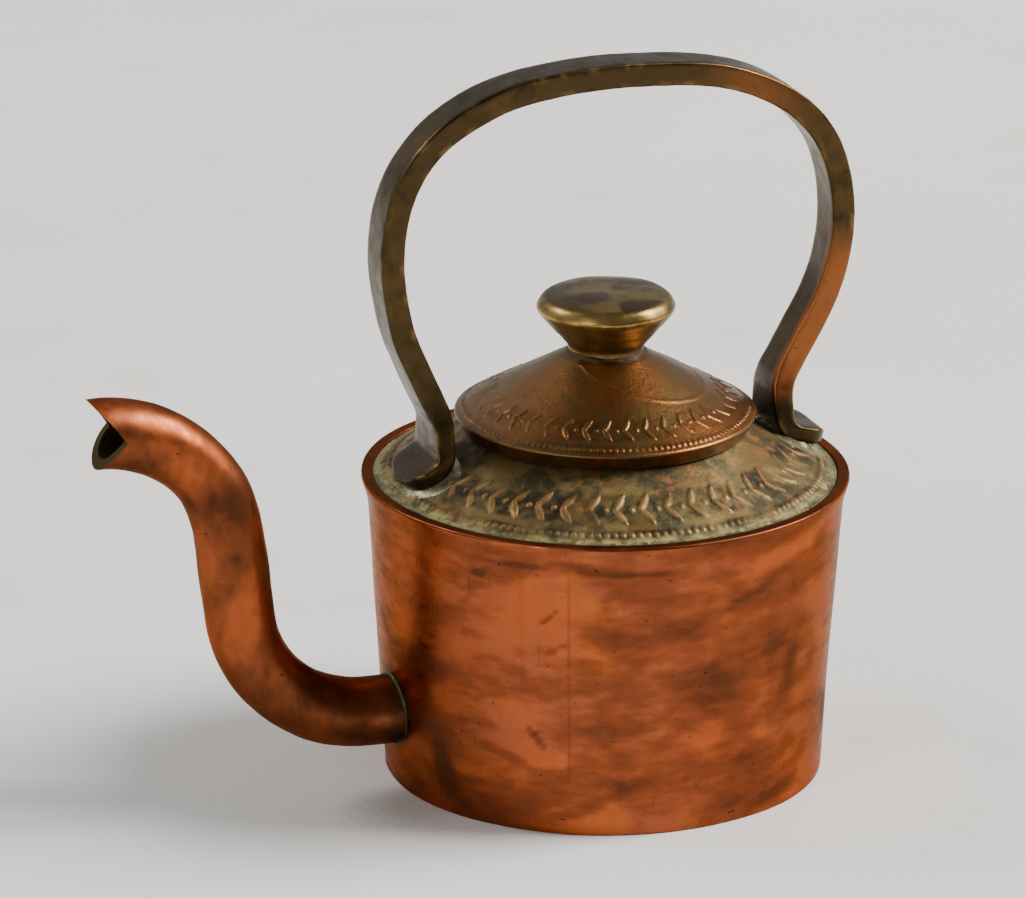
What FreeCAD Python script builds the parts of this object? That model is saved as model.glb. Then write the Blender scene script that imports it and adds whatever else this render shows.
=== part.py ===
import FreeCAD, Part
import math
import os

# Miniature copper kettle made up from two old coins, some sheet, a tube and a brass bar.
# Millimetres. +Z is up, the origin is the centre of the underside of the base.
# The handle and the spout lie in the plane Y = 0, and the spout points to -X.

V = FreeCAD.Vector
UP = V(0, 0, 1)
CENTRE = V(0, 0, 0)

# Body: a tapered tube with a lip that flares outwards
body_height = 20.5
body_bottom_radius = 14.65
body_top_radius = 15.85
body_wall = 0.8
lip_flare = 0.45
lip_height = 1.6
lip_rounding = 0.2
base_thickness = 1.2
base_solder_leg = 0.6

# Shoulder: a large coin dished into a cone and let into the lip
rim_width = 0.9
shoulder_thickness = 1.5
shoulder_slope = 27.8
shoulder_drop = 0.2
shoulder_clearance = 0.05
shoulder_ledge = 0.45
shoulder_solder_width = 0.45
mouth_radius = 8.0

# Lid: a small coin dished a little more steeply, with a register ring below
lid_overhang = 2.1
lid_thickness = 1.25
lid_slope = 29.0
lid_clearance = 0.15
register_wall = 0.8
register_depth = 3.2
register_clearance = 0.2
register_solder_leg = 0.5

# Knob: turned brass with a tenon through the lid
knob_radius = 4.65
knob_height = 4.2
knob_crown_rise = 0.35
knob_neck_radius = 2.5
knob_neck_height = 0.35
knob_edge_height = 1.0
knob_edge_rounding = 0.6
knob_tenon_radius = 1.2
knob_tenon_reach = 0.5
knob_solder_leg = 0.35

# Spout: a bent tube with a V notch filed across its end
spout_radius = 2.35
spout_wall = 0.68
spout_axis_height = 5.37
spout_inner_reach = 0.35
spout_run = 1.73
spout_low_bend = 9.0
spout_rise = 5.55
spout_high_bend = 9.1
spout_turn = 83.2
spout_nose_turn = 14.0
spout_beak = 0.54
spout_notch_depth = 2.0
spout_lower_lip_back = 0.4
spout_solder_leg = 0.45

# Handle: a flat brass bar bent into an arch, ends spread into paddle feet
handle_rise = 28.2
handle_width = 3.0
handle_thickness = 1.55
handle_turns = (8.2, 25.0, 46.6, 38.0)
handle_corner_radii = (13.9, 9.9, 13.4)
ankle_radius = 3.2
ankle_drop = 1.2
instep_radius = 1.4
foot_thickness = 1.1
foot_length = 2.65
foot_inset = 0.75
foot_width = 4.5
foot_tip_length = 1.4
foot_solder_margin = 0.45
foot_solder_thickness = 0.4

# Values worked out from the ones above
lip_radius = body_top_radius + lip_flare
shoulder_radius = lip_radius - rim_width
lid_radius = mouth_radius + lid_overhang
handle_height = body_height + handle_rise
foot_tip_radius = shoulder_radius - foot_inset
leg_radius = foot_tip_radius - foot_length
shoulder_edge_z = body_height - shoulder_drop
shoulder_rise = math.tan(math.radians(shoulder_slope))
shoulder_depth = shoulder_thickness / math.cos(math.radians(shoulder_slope))
lid_rise = math.tan(math.radians(lid_slope))
lid_depth = lid_thickness / math.cos(math.radians(lid_slope))
lid_under_radius = lid_radius - lid_thickness * math.sin(math.radians(lid_slope))
seat_radius = shoulder_radius + shoulder_clearance
ledge_z = shoulder_edge_z - shoulder_depth
body_straight_height = body_height - lip_height
body_taper = (body_top_radius - body_bottom_radius) / body_straight_height


def shoulder_top(radius):
    return shoulder_edge_z + (shoulder_radius - radius) * shoulder_rise


lid_under_z = shoulder_top(lid_under_radius) + lid_clearance
lid_edge_z = lid_under_z + lid_thickness * math.cos(math.radians(lid_slope))


def lid_top(radius):
    return lid_edge_z + (lid_radius - radius) * lid_rise


def lid_underside(radius):
    return lid_top(radius) - lid_depth


def body_inner_radius(z):
    return body_bottom_radius - body_wall + z * body_taper


def body_outer_radius(z):
    return body_bottom_radius + z * body_taper


# Profiles are closed loops of (radius, z) points. A third value, "arc", makes the point
# the middle of an arc from the point before it to the point after it.
def profile_face(points):
    vectors = [V(p[0], 0, p[1]) for p in points]
    bends = [len(p) > 2 for p in points]
    count = len(points)
    edges = []
    for i in range(count):
        if bends[i]:
            edges.append(Part.Arc(vectors[i - 1], vectors[i], vectors[(i + 1) % count]).toShape())
        elif not bends[(i + 1) % count]:
            edges.append(Part.LineSegment(vectors[i], vectors[(i + 1) % count]).toShape())
    return Part.Face(Part.Wire(Part.__sortEdges__(edges)))


def turned(points):
    return profile_face(points).revolve(CENTRE, UP, 360)


def solder_corner(corner, along_r, along_z):
    # a triangle of solder that fills a corner between two walls
    return [
        corner,
        (corner[0] + along_r[0], corner[1] + along_r[1]),
        (corner[0] + along_z[0], corner[1] + along_z[1]),
    ]


# Body
def make_body_shell():
    lip_turn_z = body_height - lip_rounding
    flare_middle_z = (body_straight_height + lip_turn_z) / 2
    flare_start = body_outer_radius(flare_middle_z)
    ledge_inner = seat_radius - shoulder_ledge
    shell = turned([
        (body_bottom_radius, 0),
        (body_top_radius, body_straight_height),
        (flare_start + (lip_radius - flare_start) / 4, flare_middle_z),
        (lip_radius, lip_turn_z),
        (lip_radius - lip_rounding, body_height),
        (seat_radius, body_height),
        (seat_radius, ledge_z),
        (ledge_inner, ledge_z),
        (body_inner_radius(ledge_z - shoulder_ledge), ledge_z - shoulder_ledge),
        (body_inner_radius(0), 0),
    ])
    return shell.cut(spout_cylinder(spout_radius, 0, body_top_radius))


def spout_cylinder(radius, inner_end, outer_end):
    # a round bar on the axis of the spout's root, between two distances from the body's axis
    return Part.makeCylinder(radius, outer_end - inner_end, V(-inner_end, 0, spout_axis_height), V(-1, 0, 0))


def make_base_disc():
    return turned([
        (0, 0),
        (body_inner_radius(0), 0),
        (body_inner_radius(base_thickness), base_thickness),
        (0, base_thickness),
    ])


def make_base_solder():
    corner = (body_inner_radius(base_thickness), base_thickness)
    leg = base_solder_leg
    return turned(solder_corner(corner, (-leg, 0), (leg * body_taper, leg)))


# Shoulder
def make_shoulder_disc():
    flat_inner = seat_radius - shoulder_ledge
    return turned([
        (mouth_radius, shoulder_top(mouth_radius)),
        (shoulder_radius, shoulder_edge_z),
        (shoulder_radius, ledge_z),
        (flat_inner, ledge_z),
        (mouth_radius, shoulder_top(mouth_radius) - shoulder_depth),
    ])


def make_shoulder_solder():
    inner = shoulder_radius - shoulder_solder_width
    return turned([
        (seat_radius, shoulder_edge_z),
        (shoulder_radius, shoulder_edge_z),
        (inner, shoulder_top(inner)),
        (seat_radius, body_height - shoulder_drop / 4),
    ])


# Lid
def make_lid_disc():
    neck = knob_neck_radius
    return turned([
        (knob_tenon_radius, lid_top(neck)),
        (neck, lid_top(neck)),
        (lid_radius, lid_edge_z),
        (lid_under_radius, lid_under_z),
        (neck, lid_underside(neck)),
        (knob_tenon_radius, lid_underside(neck)),
    ])


register_outer = mouth_radius - register_clearance
register_inner = register_outer - register_wall


def make_lid_register():
    foot_z = lid_underside(register_outer) - register_depth
    return turned([
        (register_inner, lid_underside(register_inner)),
        (register_outer, lid_underside(register_outer)),
        (register_outer, foot_z),
        (register_inner, foot_z),
    ])


def make_register_solder():
    corner = (register_inner, lid_underside(register_inner))
    leg = register_solder_leg
    return turned(solder_corner(corner, (-leg, leg * lid_rise), (0, -leg)))


def make_knob():
    foot = lid_top(knob_neck_radius)
    crown = foot + knob_height
    shoulder = crown - knob_crown_rise
    rounding = knob_edge_rounding
    crown_rim = (knob_radius - rounding, shoulder)
    side_top = (knob_radius, shoulder - rounding)
    side_low = (knob_radius, shoulder - knob_edge_height)
    bevel = rounding / 4
    crown_sphere = (crown_rim[0] ** 2 + knob_crown_rise ** 2) / (2 * knob_crown_rise)
    half = crown_rim[0] / 2
    crown_middle_z = crown - crown_sphere + math.sqrt(crown_sphere ** 2 - half ** 2)
    tenon_end = lid_underside(knob_neck_radius) - knob_tenon_reach
    return turned([
        (0, crown),
        (half, crown_middle_z, "arc"),
        crown_rim,
        (knob_radius - rounding / 4, shoulder - rounding / 3),
        side_top,
        side_low,
        (knob_radius - bevel, side_low[1] - 2 * bevel),
        (knob_neck_radius, foot + knob_neck_height),
        (knob_neck_radius, foot),
        (knob_tenon_radius, foot),
        (knob_tenon_radius, tenon_end),
        (0, tenon_end),
    ])


def make_knob_solder():
    corner = (knob_neck_radius, lid_top(knob_neck_radius))
    leg = knob_solder_leg
    return turned(solder_corner(corner, (leg, -leg * lid_rise), (0, leg)))


# Paths of lines and tangent arcs in the plane Y = 0
# A path is a list of (radius, turn). A positive turn bends left, a negative one right,
# and a turn of None makes radius the length of a straight run.
def shift(heading, radius, turn):
    if turn is None:
        return radius * math.cos(heading), radius * math.sin(heading)
    side = 1 if turn > 0 else -1
    end = heading + math.radians(turn)
    return (side * radius * (math.sin(end) - math.sin(heading)),
            -side * radius * (math.cos(end) - math.cos(heading)))


def path_point(start, heading, radius, turn, offset):
    # the end of one step, moved to the right of the path by offset
    dx, dz = shift(heading, radius, turn)
    end = heading + math.radians(turn or 0)
    return V(start[0] + dx + offset * math.sin(end), 0, start[1] + dz - offset * math.cos(end))


def path_edges(start, heading, steps, offset=0.0):
    edges = []
    heading = math.radians(heading)
    for radius, turn in steps:
        first = path_point(start, heading, 0, None, offset)
        last = path_point(start, heading, radius, turn, offset)
        if turn is None:
            edges.append(Part.LineSegment(first, last).toShape())
        else:
            middle = path_point(start, heading, radius, turn / 2, offset)
            edges.append(Part.Arc(first, middle, last).toShape())
        dx, dz = shift(heading, radius, turn)
        start = (start[0] + dx, start[1] + dz)
        heading += math.radians(turn or 0)
    return edges


# Spout
spout_root_x = -(body_outer_radius(spout_axis_height) - body_wall - spout_inner_reach)
spout_bend_x = -(body_outer_radius(spout_axis_height) + spout_run)
spout_steps = [
    (spout_root_x - spout_bend_x, None),
    (spout_low_bend, -spout_turn),
    (spout_rise, None),
    (spout_high_bend, spout_turn - spout_nose_turn),
    (spout_high_bend, spout_nose_turn),
    (spout_beak, None),
]


def bent_rod(radius):
    # Straight runs are cylinders and bends are parts of a torus. The nose is a step of its own,
    # so that the notch cuts a small face only.
    pieces = []
    position = (spout_root_x, spout_axis_height)
    heading = math.pi
    for run, turn in spout_steps:
        centre = V(position[0], 0, position[1])
        direction = V(math.cos(heading), 0, math.sin(heading))
        if turn is None:
            pieces.append(Part.makeCylinder(radius, run, centre, direction))
        else:
            side = 1 if turn > 0 else -1
            pivot = centre + V(-math.sin(heading), 0, math.cos(heading)) * (side * run)
            disc = Part.Face(Part.Wire(Part.makeCircle(radius, centre, direction)))
            pieces.append(disc.revolve(pivot, V(0, -1, 0), turn))
        dx, dz = shift(heading, run, turn)
        position = (position[0] + dx, position[1] + dz)
        heading += math.radians(turn or 0)
    return pieces[0].fuse(pieces[1:]), position


def make_spout():
    rod, tip = bent_rod(spout_radius)
    bore, tip = bent_rod(spout_radius - spout_wall)
    apex = V(tip[0] + spout_notch_depth, 0, tip[1])
    upper = V(tip[0], 0, tip[1] + spout_radius)
    lower = V(tip[0] + spout_lower_lip_back, 0, tip[1] - spout_radius)
    corners = [
        apex,
        apex + (upper - apex) * 2,
        V(tip[0] - 2 * spout_radius, 0, tip[1]),
        apex + (lower - apex) * 2,
        apex,
    ]
    notch = Part.Face(Part.makePolygon(corners)).extrude(V(0, 4 * spout_radius, 0))
    notch.translate(V(0, -2 * spout_radius, 0))
    return rod.cut(bore).cut(notch)


def make_spout_solder():
    # a cone of solder that closes the corner between the spout and the round wall
    wall = body_outer_radius(spout_axis_height)
    leg = spout_solder_leg
    root = wall - leg
    collar = Part.makeCone(spout_radius + 2 * leg, spout_radius, 2 * leg,
                           V(-root, 0, spout_axis_height), V(-1, 0, 0))
    inside = Part.makeCone(body_bottom_radius, body_top_radius, body_straight_height)
    return collar.cut(inside).cut(spout_cylinder(spout_radius, 0, wall + 2 * leg))


# Handle
def under_cone(lift):
    # everything below the shoulder's cone raised by lift
    reach = lip_radius + foot_width
    return turned([
        (0, 0),
        (reach, 0),
        (reach, shoulder_top(reach) + lift),
        (0, shoulder_top(0) + lift),
    ])


def handle_steps():
    # The radius of the crown and the length of the leg make the arch land on its feet.
    slope = shoulder_slope
    instep = (instep_radius, slope - 90)
    ankle = (ankle_radius, 90 - sum(handle_turns))
    corners = list(zip(handle_corner_radii, handle_turns[1:]))
    instep_dx, instep_dz = shift(math.radians(270), *instep)
    sole_lift = foot_thickness / 2 / math.cos(math.radians(slope))
    heel_z = shoulder_top(leg_radius - instep_dx) + sole_lift - instep_dz
    start_z = handle_height - handle_thickness / 2
    goal_x = -leg_radius
    goal_z = heel_z + ankle_drop
    heading = math.radians(180 + handle_turns[0])
    for radius, turn in corners:
        dx, dz = shift(heading, radius, turn)
        goal_x -= dx
        goal_z -= dz
        heading += math.radians(turn)
    ankle_dx, ankle_dz = shift(heading, *ankle)
    goal_x -= ankle_dx
    goal_z -= ankle_dz + start_z
    crown_dx, crown_dz = shift(math.pi, 1, handle_turns[0])
    leg_dx, leg_dz = math.cos(heading), math.sin(heading)
    spread = crown_dx * leg_dz - leg_dx * crown_dz
    crown_radius = (goal_x * leg_dz - leg_dx * goal_z) / spread
    leg_length = (crown_dx * goal_z - crown_dz * goal_x) / spread
    toe_length = foot_tip_length / 2
    print("handle crown radius", round(crown_radius, 2), "leg length", round(leg_length, 2))
    return [(crown_radius, handle_turns[0])] + corners + [
        (leg_length, None), ankle, (ankle_drop, None), instep, (toe_length, None)]


def foot_outline(margin):
    heel = leg_radius - handle_thickness / 2 - margin
    ball = foot_tip_radius - foot_tip_length
    half_heel = handle_width / 2 + margin
    half_ball = foot_width / 2 + margin
    tip = foot_tip_radius + margin
    edges = [
        Part.LineSegment(V(-heel, half_heel, 0), V(-ball, half_ball, 0)).toShape(),
        Part.Arc(V(-ball, half_ball, 0), V(-tip, 0, 0), V(-ball, -half_ball, 0)).toShape(),
        Part.LineSegment(V(-ball, -half_ball, 0), V(-heel, -half_heel, 0)).toShape(),
        Part.LineSegment(V(-heel, -half_heel, 0), V(-heel, half_heel, 0)).toShape(),
    ]
    return Part.Face(Part.Wire(edges)).extrude(V(0, 0, handle_height))


def on_shoulder(shape, thickness):
    lift = thickness / math.cos(math.radians(shoulder_slope))
    return shape.common(under_cone(lift)).cut(under_cone(0))


def mirrored(shape):
    return shape.mirror(CENTRE, V(1, 0, 0))


def make_handle():
    start = (0, handle_height - handle_thickness / 2)
    half = handle_thickness / 2
    steps = handle_steps()
    outer = path_edges(start, 180, steps, half)
    inner = path_edges(start, 180, steps, -half)
    crown_cut = Part.LineSegment(outer[0].Vertexes[0].Point, inner[0].Vertexes[0].Point).toShape()
    toe_cut = Part.LineSegment(outer[-1].Vertexes[-1].Point, inner[-1].Vertexes[-1].Point).toShape()
    outline = Part.Wire(Part.__sortEdges__(outer + [toe_cut] + inner + [crown_cut]))
    bar = Part.Face(outline).extrude(V(0, handle_width, 0))
    bar.translate(V(0, -handle_width / 2, 0))
    foot = on_shoulder(foot_outline(0), foot_thickness)
    side = bar.cut(under_cone(0)).fuse(foot)
    return side.fuse(mirrored(side)).removeSplitter()


def make_handle_solder(handle, side):
    pad = on_shoulder(foot_outline(foot_solder_margin), foot_solder_thickness)
    pad = pad if side < 0 else mirrored(pad)
    return pad.cut(handle)


# Build
def build():
    handle = make_handle()
    return {
        "body_shell": make_body_shell(),
        "base_disc": make_base_disc(),
        "base_solder": make_base_solder(),
        "spout": make_spout(),
        "spout_solder": make_spout_solder(),
        "shoulder_disc": make_shoulder_disc(),
        "shoulder_solder": make_shoulder_solder(),
        "handle": handle,
        "handle_solder_left": make_handle_solder(handle, -1),
        "handle_solder_right": make_handle_solder(handle, 1),
        "lid_disc": make_lid_disc(),
        "lid_register": make_lid_register(),
        "register_solder": make_register_solder(),
        "knob": make_knob(),
        "knob_solder": make_knob_solder(),
    }


os.makedirs("parts", exist_ok=True)
for name, shape in build().items():
    if shape.ShapeType == "Compound" and len(shape.Solids) == 1:
        shape = shape.Solids[0]
    if not shape.isValid() or not shape.Solids:
        raise ValueError(name + " is not a valid solid")
    shape.exportStep("parts/" + name + ".step")
    box = shape.BoundBox
    print(name, len(shape.Solids), round(shape.Volume, 2),
          [round(x, 2) for x in (box.XMin, box.XMax, box.YMin, box.YMax, box.ZMin, box.ZMax)])
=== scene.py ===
import bpy
import math
from mathutils import Matrix, Vector, noise


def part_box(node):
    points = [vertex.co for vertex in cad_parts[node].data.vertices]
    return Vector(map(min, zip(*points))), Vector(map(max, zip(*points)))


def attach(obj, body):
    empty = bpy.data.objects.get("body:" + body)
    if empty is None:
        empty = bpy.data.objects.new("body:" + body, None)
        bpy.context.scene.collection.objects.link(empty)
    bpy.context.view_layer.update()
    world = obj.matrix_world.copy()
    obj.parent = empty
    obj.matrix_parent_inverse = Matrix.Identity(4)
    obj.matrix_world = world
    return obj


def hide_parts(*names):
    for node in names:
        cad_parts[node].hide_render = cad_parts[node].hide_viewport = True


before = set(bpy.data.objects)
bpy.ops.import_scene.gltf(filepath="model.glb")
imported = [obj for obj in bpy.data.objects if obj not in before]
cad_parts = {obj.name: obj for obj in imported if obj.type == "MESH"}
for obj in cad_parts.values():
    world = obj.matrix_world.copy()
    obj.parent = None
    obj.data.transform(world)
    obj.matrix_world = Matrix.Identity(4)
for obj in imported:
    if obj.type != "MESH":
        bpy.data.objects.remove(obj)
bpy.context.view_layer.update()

# Every shape below is worked out in millimetres and scaled to metres when its mesh is made.
mmToMetre = 0.001


def boxInMm(node):
    low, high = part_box(node)
    return low / mmToMetre, high / mmToMetre


# small helpers for meshes
# marks are values per point, which the finish reads back as attributes
def makePiece(name, points, faces, body, node, material, sharpAngle=35, marks=None):
    mesh = bpy.data.meshes.new(name)
    mesh.from_pydata([Vector(p) * mmToMetre for p in points], [], faces)
    mesh.validate()
    mesh.materials.append(material)
    for label, values in (marks or {}).items():
        mesh.attributes.new(label, "FLOAT", "POINT").data.foreach_set("value", values)
    for polygon in mesh.polygons:
        polygon.use_smooth = True
    mesh.set_sharp_from_angle(angle=math.radians(sharpAngle))
    piece = bpy.data.objects.new(name, mesh)
    bpy.context.scene.collection.objects.link(piece)
    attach(piece, body)
    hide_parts(node)
    return piece


def softOutline(corners, spacing, cornerSteps=4):
    # corners are (radius, z, rounding) or (radius, z, rounding, spacing of the run that follows)
    count = len(corners)
    flat = [Vector((c[0], c[1])) for c in corners]
    cut = []
    for i, corner in enumerate(corners):
        before = (flat[i - 1] - flat[i]).length
        after = (flat[(i + 1) % count] - flat[i]).length
        cut.append(min(corner[2], before * 0.45, after * 0.45))
    outline = []
    for i, corner in enumerate(corners):
        here, after = flat[i], flat[(i + 1) % count]
        toPrevious = (flat[i - 1] - here).normalized()
        toNext = (after - here).normalized()
        if cut[i] > 0:
            start, end = here + toPrevious * cut[i], here + toNext * cut[i]
            for k in range(cornerSteps + 1):
                t = k / cornerSteps
                outline.append(start * (1 - t) ** 2 + here * 2 * t * (1 - t) + end * t * t)
        else:
            outline.append(here)
        start, end = here + toNext * cut[i], after - toNext * cut[(i + 1) % count]
        gap = corner[3] if len(corner) > 3 else spacing
        steps = max(1, round((end - start).length / gap))
        outline += [start.lerp(end, k / steps) for k in range(1, steps)]
    return outline


def latheGrid(outline, segments):
    # turns a closed outline of (radius, z) round the upright axis
    points, faces, rings = [], [], []
    for spot in outline:
        if abs(spot.x) < 1e-6:
            rings.append([len(points)] * segments)
            points.append(Vector((0, 0, spot.y)))
            continue
        rings.append(list(range(len(points), len(points) + segments)))
        for k in range(segments):
            angle = 2 * math.pi * k / segments
            points.append(Vector((spot.x * math.cos(angle), spot.x * math.sin(angle), spot.y)))
    for i in range(len(rings)):
        low, high = rings[i], rings[(i + 1) % len(rings)]
        if low[0] == low[1] and high[0] == high[1]:
            continue
        for k in range(segments):
            n = (k + 1) % segments
            corner = [low[k], high[k], high[n], low[n]]
            faces.append([c for j, c in enumerate(corner) if c not in corner[:j]])
    return points, faces


def wobble(point, size, amount, seed):
    # a slow, hand-made unevenness
    return amount * noise.noise(point / size + Vector((seed, seed * 1.7, seed * 0.3)))


def uneven(points, size, amount, seed):
    # pushes the points in and out from the upright axis
    for point in points:
        across = Vector((point.x, point.y, 0))
        if across.length > 1e-6:
            point += across.normalized() * wobble(point, size, amount, seed)


def smooth(low, high, value):
    # 0 at low, 1 at high, with soft ends
    t = max(0.0, min(1.0, (value - low) / (high - low)))
    return t * t * (3 - 2 * t)


# small helpers for materials; all patterns are laid out in millimetres
def startMaterial(name):
    material = bpy.data.materials.new(name)
    material.use_nodes = True
    tree = material.node_tree
    shader = tree.nodes["Principled BSDF"]
    coords = tree.nodes.new("ShaderNodeTexCoord")
    inMm = tree.nodes.new("ShaderNodeVectorMath")
    inMm.operation = "SCALE"
    inMm.inputs["Scale"].default_value = 1 / mmToMetre
    tree.links.new(coords.outputs["Object"], inMm.inputs[0])
    return material, tree, shader, inMm.outputs[0]


def feed(tree, socket, value):
    # value is another node's output, a colour or a number
    if isinstance(value, bpy.types.NodeSocket):
        tree.links.new(value, socket)
    elif isinstance(value, (tuple, list)) and len(value) == 3 and socket.type == "RGBA":
        socket.default_value = (*value, 1)
    else:
        socket.default_value = value


def cloud(tree, coords, size, detail=4, roughness=0.55, stretch=(1, 1, 1), turn=(0, 0, 0), offset=0.0):
    # noise whose blobs are about size millimetres across; stretch makes them longer along an axis
    mapping = tree.nodes.new("ShaderNodeMapping")
    mapping.inputs["Location"].default_value = (offset, offset * 0.7, offset * 1.3)
    mapping.inputs["Rotation"].default_value = [math.radians(a) for a in turn]
    mapping.inputs["Scale"].default_value = [1 / (size * s) for s in stretch]
    tree.links.new(coords, mapping.inputs["Vector"])
    texture = tree.nodes.new("ShaderNodeTexNoise")
    texture.inputs["Scale"].default_value = 1.0
    texture.inputs["Detail"].default_value = detail
    texture.inputs["Roughness"].default_value = roughness
    tree.links.new(mapping.outputs["Vector"], texture.inputs["Vector"])
    return texture.outputs["Fac"]


def step(tree, value, low, high, outLow=0.0, outHigh=1.0):
    # like smooth, as a node
    node = tree.nodes.new("ShaderNodeMapRange")
    node.interpolation_type = "SMOOTHSTEP"
    feed(tree, node.inputs["Value"], value)
    feed(tree, node.inputs["From Min"], low)
    feed(tree, node.inputs["From Max"], high)
    node.inputs["To Min"].default_value = outLow
    node.inputs["To Max"].default_value = outHigh
    return node.outputs["Result"]


def mathNode(tree, operation, a, b):
    node = tree.nodes.new("ShaderNodeMath")
    node.operation = operation
    feed(tree, node.inputs[0], a)
    feed(tree, node.inputs[1], b)
    return node.outputs[0]


def plus(tree, a, b):
    return mathNode(tree, "ADD", a, b)


def minus(tree, a, b):
    return mathNode(tree, "SUBTRACT", a, b)


def times(tree, a, b):
    return mathNode(tree, "MULTIPLY", a, b)


def larger(tree, a, b):
    return mathNode(tree, "MAXIMUM", a, b)


def mixColour(tree, factor, a, b):
    node = tree.nodes.new("ShaderNodeMix")
    node.data_type = "RGBA"
    feed(tree, node.inputs["Factor"], factor)
    feed(tree, node.inputs[6], a)
    feed(tree, node.inputs[7], b)
    return node.outputs[2]


def mark(tree, label):
    # one of the values per point that makePiece stored
    node = tree.nodes.new("ShaderNodeAttribute")
    node.attribute_name = label
    return node.outputs["Fac"]


def addBump(tree, shader, height, depth):
    node = tree.nodes.new("ShaderNodeBump")
    node.inputs["Strength"].default_value = 1.0
    node.inputs["Distance"].default_value = depth * mmToMetre
    tree.links.new(height, node.inputs["Height"])
    tree.links.new(node.outputs["Normal"], shader.inputs["Normal"])


# floor, light and camera, in metres
studio = {
    "floorHalf": 1.5,
    "floorColour": (0.71, 0.70, 0.675),
    "dirtColour": (0.50, 0.45, 0.36),
    "backColour": (0.86, 0.86, 0.84),
    "frontColour": (0.16, 0.15, 0.14),
    "skyStrength": 0.56,
    # lamps: name, place, size, power, colour
    "lamps": [
        ("windowLeft", (-0.85, -0.60, 0.40), (0.35, 0.6), 4.0, (1.0, 0.985, 0.96)),
        ("keyRight", (0.78, -0.18, 0.70), (0.50, 0.50), 26.0, (1.0, 0.98, 0.95)),
        ("highLeft", (-0.75, 0.55, 0.80), (0.45, 0.40), 7.0, (0.98, 0.99, 1.0)),
    ],
    "lampAim": 0.02,
    "azimuth": -21.0,
    "elevation": 18.6,
    "roll": 0.48,
    "distance": 0.5,
    "aimHeight": 0.022,
    "turnLeft": 0.705,
    "turnUp": -0.016,
    "lens": 264.0,
}


def makeFloor():
    size = studio["floorHalf"]
    mesh = bpy.data.meshes.new("floor")
    corners = [(-size, -size, 0), (size, -size, 0), (size, size, 0), (-size, size, 0)]
    mesh.from_pydata(corners, [], [(0, 1, 2, 3)])
    material, tree, shader, coords = startMaterial("paleCloth")
    patches = cloud(tree, coords, 60, detail=3)
    weave = cloud(tree, coords, 0.5, detail=2)
    base = studio["floorColour"]
    darker = tuple(c * 0.93 for c in base)
    grubby = cloud(tree, coords, 14, detail=5, roughness=0.6, offset=12)  # faint hand marks
    lint = cloud(tree, coords, 0.7, detail=2, offset=33)
    colour = mixColour(tree, step(tree, patches, 0.3, 0.75), darker, base)
    colour = mixColour(tree, step(tree, grubby, 0.56, 0.78, 0.0, 0.35), colour, studio["dirtColour"])
    colour = mixColour(tree, step(tree, lint, 0.74, 0.80, 0.0, 0.25), colour, studio["dirtColour"])
    feed(tree, shader.inputs["Base Color"], colour)
    feed(tree, shader.inputs["Roughness"], step(tree, weave, 0.2, 0.8, 0.85, 0.95))
    addBump(tree, shader, weave, 0.05)
    mesh.materials.append(material)
    floor = bpy.data.objects.new("floor", mesh)
    bpy.context.scene.collection.objects.link(floor)


def addSoftbox(name, place, size, power, colour):
    light = bpy.data.lights.new(name, "AREA")
    light.shape = "RECTANGLE"
    light.size, light.size_y = size
    light.energy = power
    light.color = colour
    lamp = bpy.data.objects.new(name, light)
    lamp.location = place
    aim = Vector((0, 0, studio["lampAim"])) - Vector(place)
    lamp.rotation_euler = aim.to_track_quat("-Z", "Y").to_euler()
    bpy.context.scene.collection.objects.link(lamp)


def makeLight():
    # a pale room behind the kettle and a dim one in front of it, so that the metal shows bands
    world = bpy.data.worlds.new("studioAir")
    world.use_nodes = True
    tree = world.node_tree
    background = tree.nodes["Background"]
    coords = tree.nodes.new("ShaderNodeTexCoord")
    split = tree.nodes.new("ShaderNodeSeparateXYZ")
    tree.links.new(coords.outputs["Generated"], split.inputs[0])
    toBack = plus(tree, times(tree, split.outputs["Y"], 0.85), times(tree, split.outputs["X"], -0.35))
    share = step(tree, toBack, -0.35, 0.45)
    high = step(tree, split.outputs["Z"], 0.35, 0.8, 0.0, 0.35)
    zenith = step(tree, split.outputs["Z"], 0.80, 0.97, 1.0, 0.25)
    share = times(tree, larger(tree, share, high), zenith)
    colour = mixColour(tree, share, studio["frontColour"], studio["backColour"])
    tree.links.new(colour, background.inputs["Color"])
    background.inputs["Strength"].default_value = studio["skyStrength"]
    bpy.context.scene.world = world
    for lamp in studio["lamps"]:
        addSoftbox(*lamp)


def makeCamera():
    azimuth, elevation = math.radians(studio["azimuth"]), math.radians(studio["elevation"])
    back = Vector((math.sin(azimuth) * math.cos(elevation),
                   -math.cos(azimuth) * math.cos(elevation), math.sin(elevation)))
    right = Vector((math.cos(azimuth), math.sin(azimuth), 0))
    up = back.cross(right)
    turn = Matrix((right, up, back)).transposed()
    turn = turn @ Matrix.Rotation(math.radians(studio["roll"]), 3, "Z")
    turn = turn @ Matrix.Rotation(math.radians(studio["turnLeft"]), 3, "Y")
    turn = turn @ Matrix.Rotation(math.radians(studio["turnUp"]), 3, "X")
    camera = bpy.data.objects.new("camera", bpy.data.cameras.new("camera"))
    place = Vector((0, 0, studio["aimHeight"])) + back * studio["distance"]
    camera.matrix_world = Matrix.Translation(place) @ turn.to_4x4()
    camera.data.sensor_width = 36
    camera.data.lens = studio["lens"]
    camera.data.clip_start = 0.01
    camera.data.clip_end = 10
    bpy.context.scene.collection.objects.link(camera)
    bpy.context.scene.camera = camera


makeFloor()
makeLight()
makeCamera()
print("stage ready")


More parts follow.
